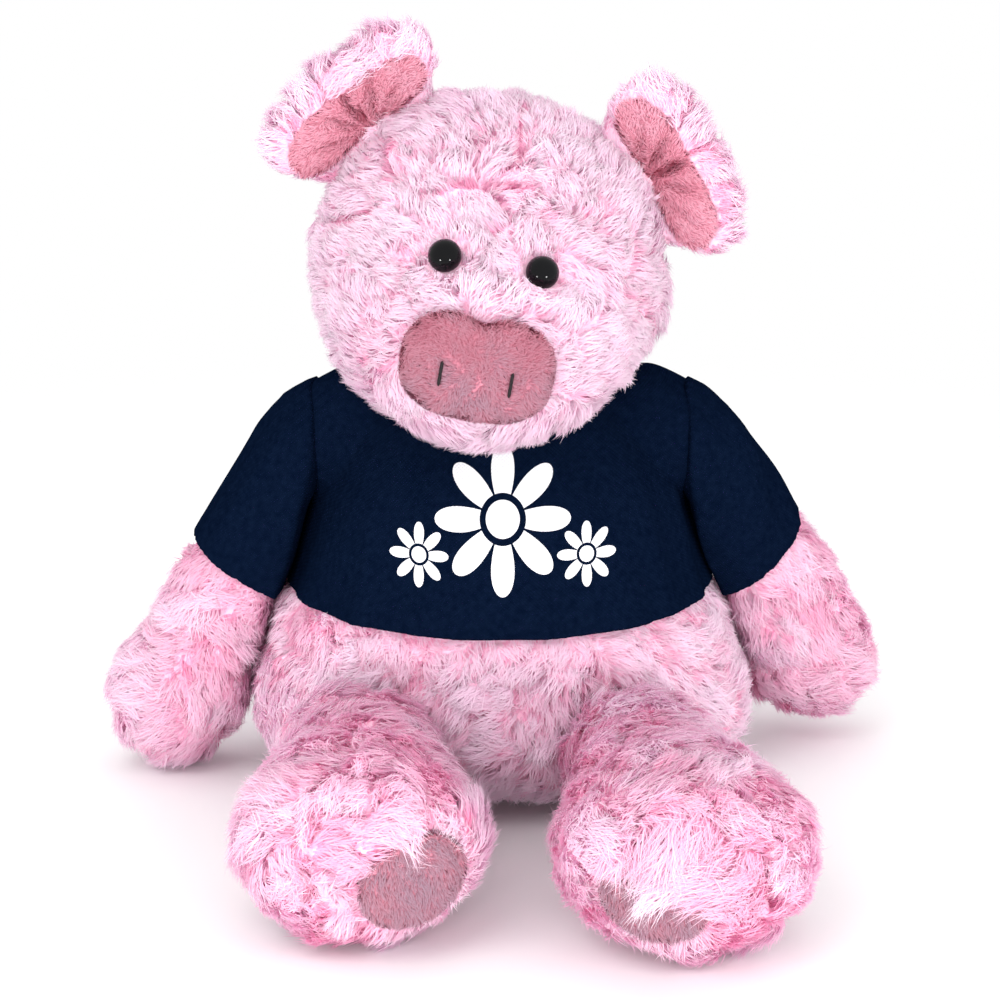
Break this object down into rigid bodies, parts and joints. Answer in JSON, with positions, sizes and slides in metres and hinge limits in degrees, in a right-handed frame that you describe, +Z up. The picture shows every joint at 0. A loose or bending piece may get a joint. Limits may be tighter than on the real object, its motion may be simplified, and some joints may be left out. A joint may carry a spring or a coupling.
{
  "type": "plush pig",
  "caption": "Seated plush pig with long swirly pink fur, velboa snout and ear linings, soft jointed limbs and a plain dark T-shirt.",
  "frame": {"origin": "middle of the flat seat under the torso, on the surface that the pig sits on", "axes": "+Z up through the head, -Y the way the pig faces, +X the pig's own left side"},
  "size_m": [0.2332, 0.2713, 0.2292],
  "materials": {
    "fur_fabric": "matte",
    "velboa": "matte",
    "navy_knit": "matte",
    "fibre_fill": "matte",
    "eye_plastic": "gloss",
    "washer_plastic": "matte",
    "black_thread": "matte"
  },
  "bodies": {
    "torso": {"torso_cover": "fur_fabric", "torso_fill": "fibre_fill", "pellet_bag": "fibre_fill", "shirt_body": "navy_knit", "shirt_neckband": "navy_knit"},
    "neck": {"neck_stuffing": "fibre_fill"},
    "head": {"head_cover": "fur_fabric", "head_fill": "fibre_fill", "snout_patch": "velboa", "nostril_stitch_right": "black_thread", "eye_right": "eye_plastic", "eye_washer_right": "washer_plastic", "nostril_stitch_left": "black_thread", "eye_left": "eye_plastic", "eye_washer_left": "washer_plastic"},
    "ear_right": {"ear_back_right": "fur_fabric", "ear_lining_right": "velboa"},
    "ear_left": {"ear_back_left": "fur_fabric", "ear_lining_left": "velboa"},
    "arm_right": {"arm_cover_right": "fur_fabric", "arm_fill_right": "fibre_fill", "shirt_sleeve_right": "navy_knit"},
    "arm_left": {"arm_cover_left": "fur_fabric", "arm_fill_left": "fibre_fill", "shirt_sleeve_left": "navy_knit"},
    "leg_right": {"leg_cover_right": "fur_fabric", "leg_fill_right": "fibre_fill", "foot_pad_right": "velboa"},
    "leg_left": {"leg_cover_left": "fur_fabric", "leg_fill_left": "fibre_fill", "foot_pad_left": "velboa"},
    "tail": {"tail": "fur_fabric"}
  },
  "joints": [
    {"name": "head_turn", "type": "hinge", "parent": "torso", "child": "neck", "pos_m": [0, -0.005, 0.13], "axis": [0, 0, 1], "range_deg": [-20, 20], "stiffness_Nm_per_rad": 0.3},
    {"name": "head_nod", "type": "hinge", "parent": "neck", "child": "head", "pos_m": [0, -0.005, 0.13], "axis": [1, 0, 0], "range_deg": [-8, 8], "stiffness_Nm_per_rad": 0.6},
    {"name": "ear_right_flop", "type": "hinge", "parent": "head", "child": "ear_right", "pos_m": [-0.03899, -0.022, 0.2013], "axis": [0.766, 0, 0.6428], "range_deg": [-30, 30], "stiffness_Nm_per_rad": 0.03},
    {"name": "ear_left_flop", "type": "hinge", "parent": "head", "child": "ear_left", "pos_m": [0.04493, -0.022, 0.18529], "axis": [0.4772, 0, -0.8788], "range_deg": [-30, 30], "stiffness_Nm_per_rad": 0.03},
    {"name": "arm_right_swing", "type": "hinge", "parent": "torso", "child": "arm_right", "pos_m": [-0.04831, 0, 0.1037], "axis": [-1, 0, 0], "range_deg": [-30, 80], "stiffness_Nm_per_rad": 0.1},
    {"name": "arm_left_swing", "type": "hinge", "parent": "torso", "child": "arm_left", "pos_m": [0.04831, 0, 0.1037], "axis": [-1, 0, 0], "range_deg": [-10, 95], "stiffness_Nm_per_rad": 0.1},
    {"name": "leg_right_swing", "type": "hinge", "parent": "torso", "child": "leg_right", "pos_m": [-0.03927, -0.07348, 0.026], "axis": [-1, 0, 0], "range_deg": [-35, 30], "stiffness_Nm_per_rad": 0.15},
    {"name": "leg_left_swing", "type": "hinge", "parent": "torso", "child": "leg_left", "pos_m": [0.03927, -0.07348, 0.026], "axis": [-1, 0, 0], "range_deg": [-35, 30], "stiffness_Nm_per_rad": 0.15},
    {"name": "tail_wag", "type": "hinge", "parent": "torso", "child": "tail", "pos_m": [0, 0.07146, 0.03172], "axis": [0, 0, 1], "range_deg": [-20, 20], "stiffness_Nm_per_rad": 0.01}
  ]
}
